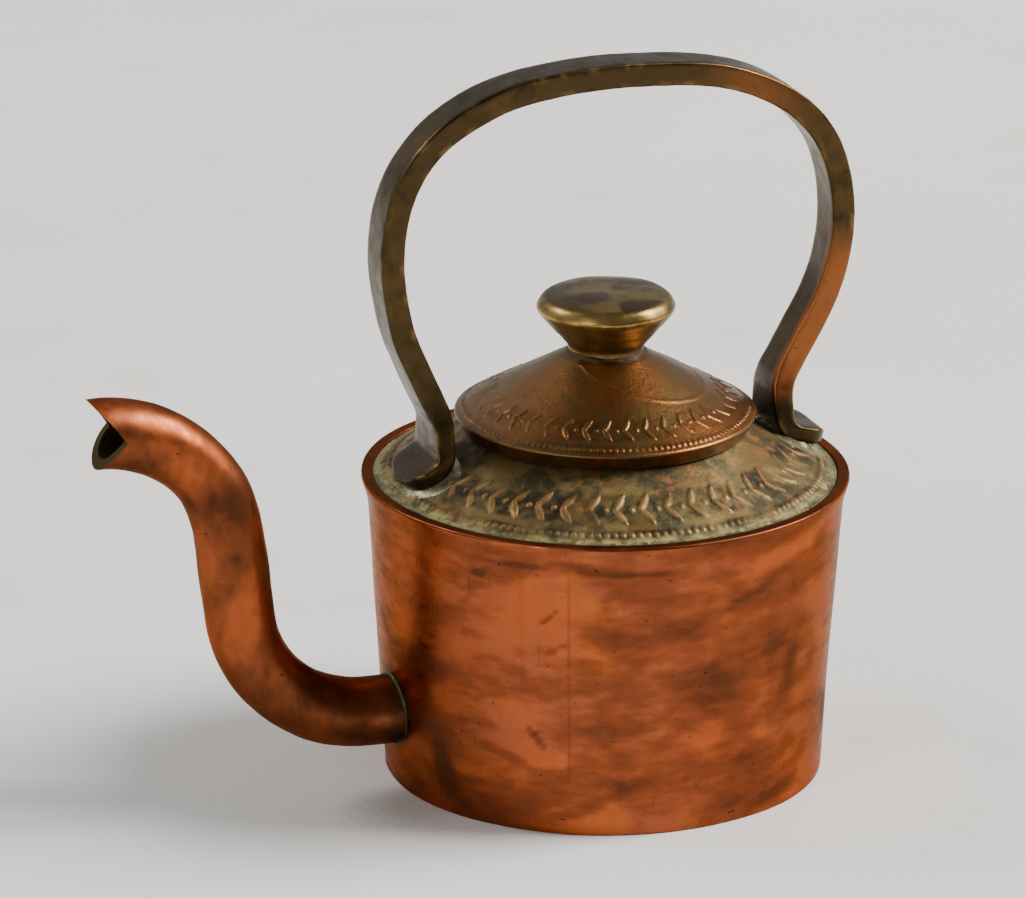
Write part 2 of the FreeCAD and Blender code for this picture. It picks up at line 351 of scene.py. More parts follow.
# finishes
copperLook = {
    "bright": (0.39, 0.085, 0.027),
    "rosy": (0.32, 0.083, 0.035),
    "gold": (0.46, 0.115, 0.026),
    "film": (0.190, 0.048, 0.019),
    "tarnish": (0.095, 0.032, 0.015),
    "edgeTint": (0.60, 0.53, 0.47),
    "soot": (0.035, 0.018, 0.010),
    "green": (0.048, 0.050, 0.022),
    "roughness": (0.26, 0.38),
}

spoutLook = dict(
    copperLook,
    bright=(0.34, 0.080, 0.026),
    rosy=(0.26, 0.070, 0.028),
    gold=(0.37, 0.095, 0.025),
    film=(0.175, 0.050, 0.019),
    tarnish=(0.080, 0.029, 0.013),
    roughness=(0.36, 0.50),
)


def makeCopper(name, look, streak=(1.9, 1.9, 0.72), cover=0.0, marked=True):
    # streak stretches the tarnish, cover adds to it all over, and marked pieces bring their own stains; on the
    # body these include painted shade
    material, tree, shader, coords = startMaterial(name)
    slow = cloud(tree, coords, 7, detail=3, offset=3)
    warm = cloud(tree, coords, 4, detail=4, offset=11)
    colour = mixColour(tree, step(tree, slow, 0.38, 0.62), look["bright"], look["rosy"])
    colour = mixColour(tree, step(tree, warm, 0.5, 0.72, 0, 0.7), colour, look["gold"])
    haze = cloud(tree, coords, 3.6, detail=6, roughness=0.5, stretch=streak, turn=(0, 7, 0), offset=21)
    fine = cloud(tree, coords, 0.8, detail=8, roughness=0.6, stretch=streak, turn=(0, 9, 0), offset=5)
    blotch = plus(tree, times(tree, haze, 0.82), times(tree, fine, 0.18))  # drifts with a fine edge
    blotch = plus(tree, blotch, cover)
    if marked:
        # on the body the tarnish mark also carries painted shade, broad patches that darken the reflection
        blotch = plus(tree, blotch, times(tree, mark(tree, "tarnish"), 0.20))
    film = step(tree, blotch, 0.48, 0.63)  # thin brown film
    stain = step(tree, blotch, 0.59, 0.79)  # dark tarnish in the middle of it
    colour = mixColour(tree, times(tree, film, 0.85), colour, look["film"])
    colour = mixColour(tree, times(tree, stain, 0.85), colour, look["tarnish"])
    specks = cloud(tree, coords, 0.42, detail=3, stretch=(1.5, 1.5, 0.8), offset=31)  # black pits
    spots = times(tree, step(tree, specks, 0.685, 0.74), step(tree, warm, 0.40, 0.55))
    colour = mixColour(tree, times(tree, spots, 0.85), colour, look["soot"])
    scratch = cloud(tree, coords, 0.2, detail=1, roughness=0.4, stretch=(1, 1, 60), offset=41)  # upright
    lines = times(tree, step(tree, scratch, 0.70, 0.76), step(tree, slow, 0.45, 0.6))
    if marked:
        lines = larger(tree, lines, mark(tree, "score"))
    colour = mixColour(tree, times(tree, lines, 0.5), colour, look["tarnish"])
    if marked:
        colour = mixColour(tree, mark(tree, "green"), colour, look["green"])
    feed(tree, shader.inputs["Base Color"], colour)
    shader.inputs["Metallic"].default_value = 1.0
    shader.inputs["Specular Tint"].default_value = (*look["edgeTint"], 1)
    low, high = look["roughness"]
    rough = plus(tree, step(tree, fine, 0.3, 0.7, low, high), times(tree, stain, 0.14))
    feed(tree, shader.inputs["Roughness"], rough)
    grain = cloud(tree, coords, 0.25, detail=3, stretch=(1, 1, 6), offset=2)
    height = plus(tree, times(tree, grain, 0.3), times(tree, slow, 2.0))
    height = minus(tree, height, times(tree, spots, 0.6))
    height = minus(tree, height, times(tree, lines, 0.5))
    addBump(tree, shader, height, 0.02)
    return material


bronzeLook = {
    "patina": (0.150, 0.096, 0.031),
    "olive": (0.046, 0.039, 0.017),
    "worn": (0.28, 0.115, 0.034),
    "deep": (0.026, 0.018, 0.008),
    "verdigris": (0.29, 0.245, 0.085),
    "roughness": (0.42, 0.62),
    "metallic": 0.75,
    "cloudSize": 3.0,
}

lidLook = {
    "patina": (0.225, 0.090, 0.027),
    "olive": (0.135, 0.078, 0.024),
    "worn": (0.26, 0.092, 0.025),
    "deep": (0.045, 0.022, 0.011),
    "verdigris": (0.15, 0.11, 0.040),
    "roughness": (0.25, 0.40),
    "metallic": 0.95,
    "cloudSize": 5.0,
}


def makeCoinBronze(name, look):
    # the mesh says where the relief, the dirt beside it and the crust are; the rest is noise
    material, tree, shader, coords = startMaterial(name)
    slow = cloud(tree, coords, look["cloudSize"], detail=5, offset=7)
    quick = cloud(tree, coords, 0.9, detail=6, roughness=0.7, offset=17)
    tiny = cloud(tree, coords, 0.28, detail=4, roughness=0.7, offset=27)
    colour = mixColour(tree, step(tree, slow, 0.41, 0.57), look["patina"], look["olive"])
    colour = mixColour(tree, step(tree, quick, 0.48, 0.72, 0, 0.75), colour, look["worn"])
    worn = times(tree, mark(tree, "high"), step(tree, quick, 0.3, 0.6, 0.25, 0.95))
    colour = mixColour(tree, worn, colour, look["worn"])
    pits = step(tree, tiny, 0.60, 0.70)
    dark = larger(tree, mark(tree, "low"), times(tree, pits, 0.5))
    colour = mixColour(tree, dark, colour, look["deep"])
    crust = times(tree, mark(tree, "crust"), step(tree, quick, 0.34, 0.58))
    colour = mixColour(tree, crust, colour, look["verdigris"])
    feed(tree, shader.inputs["Base Color"], colour)
    feed(tree, shader.inputs["Metallic"], minus(tree, look["metallic"], times(tree, crust, 0.5)))
    low, high = look["roughness"]
    rough = plus(tree, step(tree, slow, 0.3, 0.7, low, high), times(tree, crust, 0.2))
    feed(tree, shader.inputs["Roughness"], rough)
    height = plus(tree, quick, times(tree, tiny, 0.6))
    addBump(tree, shader, height, 0.035)
    return material


brassLook = {
    "olive": (0.052, 0.034, 0.0135),
    "gold": (0.080, 0.049, 0.016),
    "dark": (0.026, 0.018, 0.009),
    "purple": (0.060, 0.032, 0.020),
    "copper": (0.27, 0.085, 0.025),
    "paintedHighlight": (0.15, 0.09, 0.030),
    "roughness": (0.27, 0.42),
}

knobLook = dict(
    brassLook,
    olive=(0.14, 0.096, 0.030),
    gold=(0.235, 0.155, 0.050),
    dark=(0.06, 0.040, 0.016),
    paintedHighlight=(0.55, 0.33, 0.10),
)


def makeBrass(name, look, oliveShare):
    material, tree, shader, coords = startMaterial(name)
    slow = cloud(tree, coords, 4.5, detail=5, roughness=0.6, offset=9)
    quick = cloud(tree, coords, 1.6, detail=6, roughness=0.62, offset=19)
    tiny = cloud(tree, coords, 0.3, detail=3, offset=29)
    colour = mixColour(tree, step(tree, slow, oliveShare - 0.1, oliveShare + 0.16), look["olive"], look["gold"])
    colour = mixColour(tree, step(tree, quick, 0.50, 0.72, 0, 0.8), colour, look["dark"])
    colour = mixColour(tree, mark(tree, "purple"), colour, look["purple"])
    coppery = times(tree, mark(tree, "coppery"), step(tree, quick, 0.30, 0.42))
    colour = mixColour(tree, coppery, colour, look["copper"])
    # painted highlight: where the edge mark is set, rims and corners take a light colour
    edge = times(tree, mark(tree, "edge"), step(tree, quick, 0.42, 0.58))
    colour = mixColour(tree, edge, colour, look["paintedHighlight"])
    colour = mixColour(tree, step(tree, tiny, 0.66, 0.74, 0, 0.5), colour, look["dark"])
    feed(tree, shader.inputs["Base Color"], colour)
    shader.inputs["Metallic"].default_value = 0.95
    low, high = look["roughness"]
    feed(tree, shader.inputs["Roughness"], step(tree, quick, 0.3, 0.7, low, high))
    height = plus(tree, times(tree, slow, 1.5), times(tree, tiny, 0.25))
    addBump(tree, shader, height, 0.03)
    return material


solderLook = {
    "pale": (0.30, 0.27, 0.12),
    "grey": (0.12, 0.11, 0.06),
    "green": (0.19, 0.18, 0.065),
    "roughness": (0.30, 0.55),
    "bump": 0.06,
    "grain": 0.45,
}

footSolderLook = {
    "pale": (0.40, 0.37, 0.23),
    "grey": (0.19, 0.175, 0.105),
    "green": (0.26, 0.235, 0.10),
    "roughness": (0.22, 0.42),
    "bump": 0.03,
    "grain": 1.1,
}

rootLook = dict(
    solderLook,
    pale=(0.060, 0.055, 0.024),
    grey=(0.020, 0.022, 0.012),
    green=(0.035, 0.038, 0.015),
    roughness=(0.45, 0.65),
)

neckLook = dict(
    solderLook,
    pale=(0.045, 0.028, 0.014),
    grey=(0.018, 0.012, 0.007),
    green=(0.10, 0.042, 0.016),
    roughness=(0.50, 0.70),
)


def makeSolder(name, look):
    material, tree, shader, coords = startMaterial(name)
    slow = cloud(tree, coords, 1.6, detail=5, offset=13)
    quick = cloud(tree, coords, look["grain"], detail=5, roughness=0.6, offset=23)
    colour = mixColour(tree, step(tree, slow, 0.4, 0.6), look["pale"], look["grey"])
    colour = mixColour(tree, step(tree, quick, 0.5, 0.68, 0, 0.8), colour, look["green"])
    feed(tree, shader.inputs["Base Color"], colour)
    shader.inputs["Metallic"].default_value = 0.75
    low, high = look["roughness"]
    feed(tree, shader.inputs["Roughness"], step(tree, quick, 0.35, 0.65, low, high))
    addBump(tree, shader, quick, look["bump"])
    return material


bodyCopper = makeCopper("bodyCopper", copperLook)
spoutCopper = makeCopper("spoutCopper", spoutLook, streak=(0.9, 0.9, 1.5), cover=0.04)
innerCopper = makeCopper("innerCopper", copperLook, cover=0.06, marked=False)
shoulderBronze = makeCoinBronze("shoulderBronze", bronzeLook)
lidBronze = makeCoinBronze("lidBronze", lidLook)
handleBrass = makeBrass("handleBrass", brassLook, 0.56)
knobBrass = makeBrass("knobBrass", knobLook, 0.46)
softSolder = makeSolder("softSolder", solderLook)
footSolder = makeSolder("footSolder", footSolderLook)
neckSolder = makeSolder("neckSolder", neckLook)
rootSolder = makeSolder("rootSolder", rootLook)
print("finishes ready")


# body
bodyHigh = boxInMm("body_shell")[1]
baseHigh = boxInMm("base_disc")[1]
shoulderLow, shoulderHigh = boxInMm("shoulder_disc")

bodySize = {
    "lipRadius": bodyHigh.x,
    "height": bodyHigh.z,
    "wall": 0.8,
    "baseFit": 0.08,
    "topRadius": 15.85,
    "lipHeight": 1.6,
    "lipRounding": 0.32,
    "seatGap": 0.05,
    "ledge": 0.45,
    "segments": 540,
    "innerTarnish": 0.6,
    "lipTarnish": 0.8,
    # green ring on the wall round the spout
    "rootRing": {"height": 5.4, "inner": 2.4, "outer": 3.4, "strength": 0.55},
    # stains and painted shade: degrees round the body, mm up, half width in degrees, half height in mm, slant
    # in mm, strength; the three broad, faint entries at 278, 340 and 186 degrees are painted shade that darkens
    # the wall's reflection
    "stainsAndShade": [
        (205, 2.8, 4, 1.9, -1.4, 1.5), (211, 0.9, 6, 0.6, -0.6, 1.2), (199, 7.0, 9, 2.0, -2.0, 0.9),
        (232, 6.9, 3, 0.32, -0.8, 1.5), (226, 5.0, 8, 0.6, -0.6, 0.85), (236, 4.3, 9, 0.7, -0.4, 0.95),
        (251, 2.7, 15, 0.65, 1.8, 1.0), (241, 1.6, 6, 0.6, 0.5, 0.8), (258, 7.6, 13, 1.1, 0.6, 1.0),
        (262, 5.6, 16, 1.6, 0.5, 0.65), (272, 3.6, 5, 0.3, -0.5, 1.1), (297, 0.9, 16, 0.8, 1.2, 1.3),
        (302, 9.5, 5, 3.2, 0.6, 1.15), (296, 12.2, 7, 1.4, 0.6, 1.1), (278, 11.7, 19, 0.55, 0.8, 1.15),
        (285, 15.9, 24, 0.55, 2.2, 1.2), (300, 17.6, 22, 0.9, 1.2, 0.95), (255, 18.6, 15, 0.30, -0.2, 1.5),
        (233, 19.0, 16, 0.2, 0.3, 1.1), (236, 15.4, 3.5, 0.28, 0.8, 1.4), (238, 13.2, 3.5, 0.25, 0.4, 1.0),
        (218, 17.9, 2.5, 0.22, 0.2, 1.6), (213, 13.6, 1.6, 0.15, 0.0, 1.3), (278, 10.0, 44, 17.0, 0.0, 0.68),
        (340, 12.0, 22, 16.0, 0.0, 0.60), (186, 12.0, 12, 14.0, 0.0, 0.60), (60, 8.0, 30, 3.0, 2.0, 0.9),
        (120, 14.0, 30, 2.5, -1.0, 0.8), (20, 4.0, 20, 2.0, 1.0, 0.9), (90, 3.0, 24, 1.0, 0.5, 0.9),
    ],
    # scratches: degrees round the body, from and to in mm up, strength
    "scratches": [
        (240.6, 3.0, 18.9, 0.75), (229.0, 9.5, 18.6, 0.35),
        (257.0, 1.0, 6.0, 0.25), (274, 10.5, 12.0, 0.5),
    ],
}
bodySize["bottomRadius"] = baseHigh.x - bodySize["baseFit"] + bodySize["wall"]
bodySize["straight"] = bodySize["height"] - bodySize["lipHeight"]


def bodyOuter(z):
    # outer radius of the tapered wall at a height
    size = bodySize
    return size["bottomRadius"] + (size["topRadius"] - size["bottomRadius"]) * z / size["straight"]


def degreesRound(point):
    return math.degrees(math.atan2(point.y, point.x)) % 360


# real stains and painted shade from the list, as one value per point
def stainAndShadeAt(point, stainsAndShade):
    angle = degreesRound(point)
    ragged = 0.35 * noise.fractal(point / 1.6, 1.0, 2.0, 4)
    total = 0.0
    for aroundAt, upAt, aroundHalf, upHalf, slant, strength in stainsAndShade:
        across = ((angle - aroundAt + 180) % 360 - 180) / aroundHalf
        if abs(across) < 2:
            up = (point.z - upAt - slant * across) / upHalf
            total = max(total, strength * (1 - smooth(0.0, 1.7, math.hypot(across, up) + ragged)))
    return total


def scoreAt(point, scratches):
    # thin upright scratches that fade at both ends
    angle = degreesRound(point)
    value = 0.0
    for at, low, high, strength in scratches:
        near = 1 - smooth(0.15, 0.6, abs(angle - at))
        ends = smooth(low, low + 1.5, point.z) * (1 - smooth(high - 1.5, high, point.z))
        value = max(value, strength * near * ends)
    return value


def rootGreenAt(point, ring):
    if point.x >= 0:
        return 0.0
    away = math.hypot(point.y, point.z - ring["height"])
    return ring["strength"] * (1 - smooth(ring["inner"], ring["outer"], away))


def makeBody():
    # outer wall, lip, seat for the coin, ledge below it, inner wall
    size = bodySize
    seat = shoulderHigh.x + size["seatGap"]
    ledge = seat - size["ledge"]
    outline = softOutline([
        (size["bottomRadius"], 0, 0.12, 0.4),
        (size["topRadius"], size["straight"], 2.2, 0.3),
        (size["lipRadius"] - 0.02, size["height"] - size["lipRounding"] * 0.6, 0.15, 0.1),
        (size["lipRadius"] - 0.10, size["height"], 0.22, 0.1),
        (seat, size["height"], 0.1, 0.3),
        (seat, shoulderLow.z, 0, 0.3),
        (ledge, shoulderLow.z, 0, 1.0),
        (ledge - 0.02, shoulderLow.z - size["ledge"], 0, 1.0),
        (size["bottomRadius"] - size["wall"], 0, 0, 0.4),
    ], 0.4)
    points, faces = latheGrid(outline, size["segments"])
    uneven(points, 9.0, 0.10, 1.0)
    uneven(points, 2.5, 0.015, 4.0)
    # tarnish mark: real stains plus the painted shade of the broad entries in the stain list
    tarnish = []
    for point in points:
        outside = math.hypot(point.x, point.y) > bodyOuter(point.z) - 0.4
        value = stainAndShadeAt(point, size["stainsAndShade"]) if outside else size["innerTarnish"]
        crown = smooth(size["height"] - 0.25, size["height"] - 0.02, point.z)
        tarnish.append(max(value, size["lipTarnish"] * crown))
    marks = {
        "tarnish": tarnish,
        "green": [rootGreenAt(point, size["rootRing"]) for point in points],
        "score": [scoreAt(point, size["scratches"]) for point in points],
    }
    makePiece("body_tube", points, faces, "kettle", "body_shell", bodyCopper, marks=marks)


baseSize = {"radius": baseHigh.x, "top": baseHigh.z, "taper": 0.07, "segments": 240}


def makeBase():
    size = baseSize
    reach, top = size["radius"], size["top"]
    outline = softOutline([
        (0, 0, 0),
        (reach - size["taper"], 0, 0.1, 0.6),
        (reach, top, 0.05, 0.6),
        (0, top, 0),
    ], 0.6)
    points, faces = latheGrid(outline, size["segments"])
    makePiece("base_plate", points, faces, "kettle", "base_disc", innerCopper)
    outline = softOutline([
        (reach, top - 0.05, 0),
        (reach + 0.04, top + 0.6, 0),
        (reach - 0.2, top + 0.2, 0.3),
        (reach - 0.6, top - 0.02, 0),
    ], 0.2)
    points, faces = latheGrid(outline, size["segments"])
    uneven(points, 1.5, 0.15, 2.0)
    makePiece("base_solder_ring", points, faces, "kettle", "base_solder", softSolder)


makeBody()
makeBase()
print("body ready")


# shoulder and lid: two coins, dished; worn, dark and light say how the relief has aged
coinEdge = {
    "shoulder": {
        "beadRadius": 14.45, "beads": 168, "beadSize": 0.20, "beadHeight": 0.09,
        "leafRadius": 12.45, "leaves": 46, "leafLength": 0.82, "leafWidth": 0.26, "leafHeight": 0.11,
        "berrySize": 0.20, "slant": 58, "worn": 0.5, "dark": 1.0, "light": 0.75,
    },
    "lid": {
        "beadRadius": 9.55, "beads": 140, "beadSize": 0.15, "beadHeight": 0.05,
        "leafRadius": 8.05, "leaves": 38, "leafLength": 0.56, "leafWidth": 0.16, "leafHeight": 0.06,
        "berrySize": 0.13, "slant": 60, "worn": 0.55, "dark": 0.45, "light": 0.3,
    },
}


def dome(distance):
    return math.sqrt(max(0.0, 1 - distance * distance))


def reliefAt(radius, angle, edge):
    # a ring of beads, and inside it a ring of paired leaves with a berry between the pairs
    turn = angle / (2 * math.pi)
    across = ((turn * edge["beads"]) % 1 - 0.5) * 2 * math.pi * edge["beadRadius"] / edge["beads"]
    height = edge["beadHeight"] * dome(math.hypot(across, radius - edge["beadRadius"]) / edge["beadSize"])
    cell = (turn * edge["leaves"]) % 1 - 0.5
    pitch = 2 * math.pi * edge["leafRadius"] / edge["leaves"]
    u, v = cell * pitch, radius - edge["leafRadius"]
    slant = math.radians(edge["slant"])
    for side in (1, -1):
        du, dv = u + 0.12 * pitch, v - side * edge["leafLength"] * 0.62
        along = du * math.cos(slant) + side * dv * math.sin(slant)
        over = -du * math.sin(slant) * side + dv * math.cos(slant)
        along, over = along / edge["leafLength"], over / edge["leafWidth"]
        room = 1 - along * along
        if abs(along) < 1 and abs(over) < room:
            height = max(height, edge["leafHeight"] * dome(over / room))
    berry = math.hypot(u - 0.36 * pitch, v) / edge["berrySize"]
    return max(height, edge["leafHeight"] * dome(berry))


def coinMarks(points, edge, rise, seed, crustAt):
    # raises the relief on the upper face and returns what the finish needs to know;
    # points are pairs of a point and whether it is on that face
    marks = {"high": [], "low": [], "crust": []}
    outward = Vector((math.sin(math.atan(rise)), math.cos(math.atan(rise))))
    reach = edge["leafLength"] * 1.25
    for point, upper in points:
        radius, angle = math.hypot(point.x, point.y), math.atan2(point.y, point.x)
        keep = 0.0
        height = 0.0
        if upper:
            patchy = 0.75 + 0.8 * noise.noise(point / 2.4 + Vector((seed, 0, 0)))
            keep = smooth(edge["worn"] - 0.2, edge["worn"] + 0.35, patchy)
            height = reliefAt(radius, angle, edge)
        band = smooth(reach + 0.3, reach - 0.1, abs(radius - edge["leafRadius"]))
        beadBand = smooth(0.45, 0.25, abs(radius - edge["beadRadius"]))
        share = height / edge["leafHeight"]
        marks["high"].append(smooth(0.5, 0.95, share) * keep * edge["light"])
        near = 0.45 + 0.55 * smooth(-0.3, 0.15, noise.noise(point / 0.55 + Vector((0, seed, 0))))
        dark = max(band, beadBand) * (1 - smooth(0.0, 0.45, share)) * keep * near
        marks["low"].append(min(1.0, dark * edge["dark"]) if upper else 0.3)
        marks["crust"].append(crustAt(point, radius) if upper else 0.0)
        if height > 0:
            lift = height * (0.25 + 0.75 * keep)
            point.x += math.cos(angle) * outward.x * lift
            point.y += math.sin(angle) * outward.x * lift
            point.z += outward.y * lift
    return marks


shoulderSize = {
    "mouth": 8.0,
    "edgeZ": bodySize["height"] - 0.2,
    "thickness": 1.5,
    "segments": 1080,
    "solderSegments": 720,
}
shoulderSize["rise"] = (shoulderHigh.z - shoulderSize["edgeZ"]) / (shoulderHigh.x - shoulderSize["mouth"])


def shoulderTop(radius):
    return shoulderSize["edgeZ"] + (shoulderHigh.x - radius) * shoulderSize["rise"]


def shoulderCrust(point, radius):
    # thick at the rim and round the handle's feet, thin elsewhere
    rim = smooth(14.45, 15.3, radius + 0.5 * noise.noise(point / 1.1))
    patch = smooth(-0.05, 0.35, noise.fractal(point / 3.0, 1.0, 2.0, 3))
    feet = max(0.0, 1 - (abs(abs(point.x) - 13.0) / 3.5) ** 2 - (abs(point.y) / 4.5) ** 2)
    return min(1.0, rim * 0.9 + patch * 0.20 + feet * 0.5)


def makeShoulder():
    # mouth, cone, rim, and the under side back to the mouth
    size = shoulderSize
    depth = size["thickness"] * math.sqrt(1 + size["rise"] ** 2)
    reach, mouth = shoulderHigh.x, size["mouth"]
    outline = softOutline([
        (mouth, shoulderTop(mouth), 0.15, 0.12),
        (reach, shoulderTop(reach), 0.05, 0.3),
        (reach, shoulderLow.z, 0, 0.4),
        (reach - 0.5, shoulderLow.z + 0.15, 0, 0.8),
        (mouth, shoulderTop(mouth) - depth, 0.1, 0.4),
    ], 0.4)
    points, faces = latheGrid(outline, size["segments"])
    upper = [(p, p.z > shoulderTop(math.hypot(p.x, p.y)) - 0.08) for p in points]
    marks = coinMarks(upper, coinEdge["shoulder"], size["rise"], 3.0, shoulderCrust)
    makePiece("shoulder_coin", points, faces, "kettle", "shoulder_disc", shoulderBronze,
              sharpAngle=60, marks=marks)


def makeShoulderSolder():
    # its inner edge is ragged and runs a little way up the cone
    size = shoulderSize
    reach, edge = shoulderHigh.x, size["edgeZ"]
    inner = reach - 0.4
    outline = softOutline([
        (inner, shoulderTop(inner) - 0.1, 0),
        (reach + 0.06, edge - 0.1, 0),
        (reach + 0.06, edge + 0.10, 0.05),
        (reach - 0.15, edge + 0.10, 0.15),
        (inner, shoulderTop(inner) + 0.01, 0.05),
    ], 0.1)
    points, faces = latheGrid(outline, size["solderSegments"])
    for point in points:
        across = Vector((point.x, point.y, 0)).normalized()
        ragged = noise.fractal(point / 0.7, 1.0, 2.0, 4)
        if math.hypot(point.x, point.y) < reach - 0.2:
            point -= across * 0.2 * ragged
            point.z += 0.2 * ragged * size["rise"]
        point.z += 0.04 * noise.noise(point / 0.4)
    makePiece("shoulder_solder_ring", points, faces, "kettle", "shoulder_solder", softSolder)


makeShoulder()
makeShoulderSolder()

lidLow, lidHigh = boxInMm("lid_disc")
ringLow, ringHigh = boxInMm("lid_register")
lidSize = {
    "thickness": 1.25,
    "slope": 29.0,
    "flat": 2.5,
    "hole": 1.2,
    "segments": 960,
    # a faint raised ring, off centre
    "wornRing": {"x": 1.9, "y": -1.6, "radius": 4.3, "half": 0.16, "height": 0.03},
    "ringWall": 0.8,
    "ringSegments": 240,
    "solderSegments": 200,
}
lidSize["rise"] = math.tan(math.radians(lidSize["slope"]))
lidSize["depth"] = lidSize["thickness"] / math.cos(math.radians(lidSize["slope"]))


def lidTop(radius):
    return lidHigh.z - (radius - lidSize["flat"]) * lidSize["rise"]


def lidCrust(point, radius):
    # mostly towards the back left
    return 0.45 * smooth(-0.3, 0.9, (point.y * 0.7 - point.x * 0.7) / lidHigh.x)


def makeLid():
    # flat top, cone, rim, and the under side back to the hole
    size = lidSize
    reach, depth = lidHigh.x, size["depth"]
    slope = math.radians(size["slope"])
    outline = softOutline([
        (size["hole"], lidHigh.z, 0, 0.5),
        (size["flat"], lidHigh.z, 0.2, 0.09),
        (reach, lidTop(reach), 0.16, 0.12),
        (reach - size["thickness"] * math.sin(slope), lidLow.z, 0.12, 0.3),
        (size["flat"], lidHigh.z - depth, 0, 0.6),
        (size["hole"], lidHigh.z - depth, 0, 0.5),
    ], 0.3)
    points, faces = latheGrid(outline, size["segments"])
    upper = [(p, p.z > lidTop(math.hypot(p.x, p.y)) - 0.06 and math.hypot(p.x, p.y) > 3) for p in points]
    marks = coinMarks(upper, coinEdge["lid"], size["rise"], 8.0, lidCrust)
    ring = size["wornRing"]
    for index, (point, top) in enumerate(upper):
        away = abs(math.hypot(point.x - ring["x"], point.y - ring["y"]) - ring["radius"]) / ring["half"]
        if top and away < 1:
            point.z += ring["height"] * (1 - away ** 2)
            marks["high"][index] = max(marks["high"][index], 0.6 * (1 - away))
    uneven(points, 6.0, 0.08, 6.0)
    makePiece("lid_coin", points, faces, "lid", "lid_disc", lidBronze,
              sharpAngle=60, marks=marks)


def makeLidRing():
    # the ring below the lid that centres it in the shoulder's mouth, and its solder
    size = lidSize
    outer = ringHigh.x
    inner = outer - size["ringWall"]
    top = lidTop(inner) - size["depth"]
    outline = softOutline([
        (inner, top, 0),
        (outer, lidTop(outer) - size["depth"], 0),
        (outer, ringLow.z, 0.12),
        (inner, ringLow.z, 0.12),
    ], 0.4)
    points, faces = latheGrid(outline, size["ringSegments"])
    uneven(points, 5.0, 0.04, 9.0)
    makePiece("lid_ring", points, faces, "lid", "lid_register", innerCopper)
    outline = softOutline([
        (inner + 0.02, top, 0),
        (inner + 0.02, top - 0.5, 0),
        (inner - 0.15, top - 0.08, 0.3),
        (inner - 0.5, top + 0.5 * size["rise"], 0),
    ], 0.2)
    points, faces = latheGrid(outline, size["solderSegments"])
    uneven(points, 1.2, 0.12, 5.0)
    makePiece("lid_ring_solder", points, faces, "lid", "register_solder", softSolder)


makeLid()
makeLidRing()
print("coins ready")


# knob
knobLow, knobHigh = boxInMm("knob")
knobSize = {
    "neck": 2.5,
    "tenon": 1.2,
    "crownRise": 0.35,
    "edge": 1.0,
    "lean": 0.012,
    "segments": 360,
    "solderSegments": 200,
}


def makeKnob():
    # crown, rim, flared underside, neck, and the tenon that goes through the lid
    size = knobSize
    reach, top, foot = knobHigh.x, knobHigh.z, lidHigh.z
    shoulder = top - size["crownRise"]
    outline = softOutline([
        (0, top, 0, 0.2),
        (reach * 0.55, top - size["crownRise"] * 0.25, 1.0, 0.2),
        (reach - 0.40, shoulder - 0.10, 0.7, 0.15),
        (reach, shoulder - 0.80, 0.22, 0.08),
        (reach - 0.14, shoulder - size["edge"] - 0.12, 0.16, 0.12),
        (size["neck"] + 0.05, foot + 0.45, 0.5, 0.2),
        (size["neck"], foot, 0, 0.3),
        (size["tenon"], foot, 0, 0.3),
        (size["tenon"], knobLow.z, 0.15, 0.3),
        (0, knobLow.z, 0, 0.3),
    ], 0.2)
    points, faces = latheGrid(outline, size["segments"])
    purple, edge = [], []
    for point in points:
        radius = math.hypot(point.x, point.y)
        if point.z > foot + 1.5:
            point.z += wobble(point, 2.2, 0.07, 3.0) + size["lean"] * point.x
        crown = 1 - smooth(reach - 0.8, reach - 0.3, radius) if point.z > shoulder - 0.2 else 0.0
        mottled = smooth(0.0, 0.12, noise.noise(Vector((point.x * 0.42 + 0.6, point.y * 0.42 + 3.1, 1.0))))
        purple.append(max(crown * mottled * 0.9, 0.75 * crown * smooth(-1.6, -3.0, point.x)))
        # painted highlight: a bright band round the lower edge of the rim
        band = smooth(0.32, 0.08, abs(point.z - (shoulder - 0.95)))
        edge.append(band * smooth(reach - 0.4, reach - 0.1, radius) * 0.8)
    uneven(points, 3.0, 0.05, 7.0)
    makePiece("knob_turned", points, faces, "lid", "knob", knobBrass,
              marks={"purple": purple, "coppery": [0.0] * len(points), "edge": edge})


def makeKnobSolder():
    neck, foot = knobSize["neck"], lidHigh.z
    outline = softOutline([
        (neck - 0.05, foot - 0.1, 0),
        (neck + 0.25, lidTop(neck + 0.25) - 0.05, 0),
        (neck + 0.15, foot + 0.02, 0.15),
        (neck - 0.05, foot + 0.22, 0),
    ], 0.1)
    points, faces = latheGrid(outline, knobSize["solderSegments"])
    uneven(points, 0.9, 0.10, 8.0)
    makePiece("knob_solder_ring", points, faces, "lid", "knob_solder", neckSolder)


makeKnob()
makeKnobSolder()
print("knob ready")


# paths of lines and tangent arcs in the plane of the handle and the spout;
# a step is (length, None) for a line or (radius, degrees turned) for an arc
def shiftAlong(heading, radius, turn):
    if turn is None:
        return radius * math.cos(heading), radius * math.sin(heading)
    side = 1 if turn > 0 else -1
    end = heading + math.radians(turn)
    dx = side * radius * (math.sin(end) - math.sin(heading))
    dz = -side * radius * (math.cos(end) - math.cos(heading))
    return dx, dz


def stepLength(radius, turn):
    return radius if turn is None else radius * abs(math.radians(turn))


def pathLength(steps):
    return sum(stepLength(r, t) for r, t in steps)


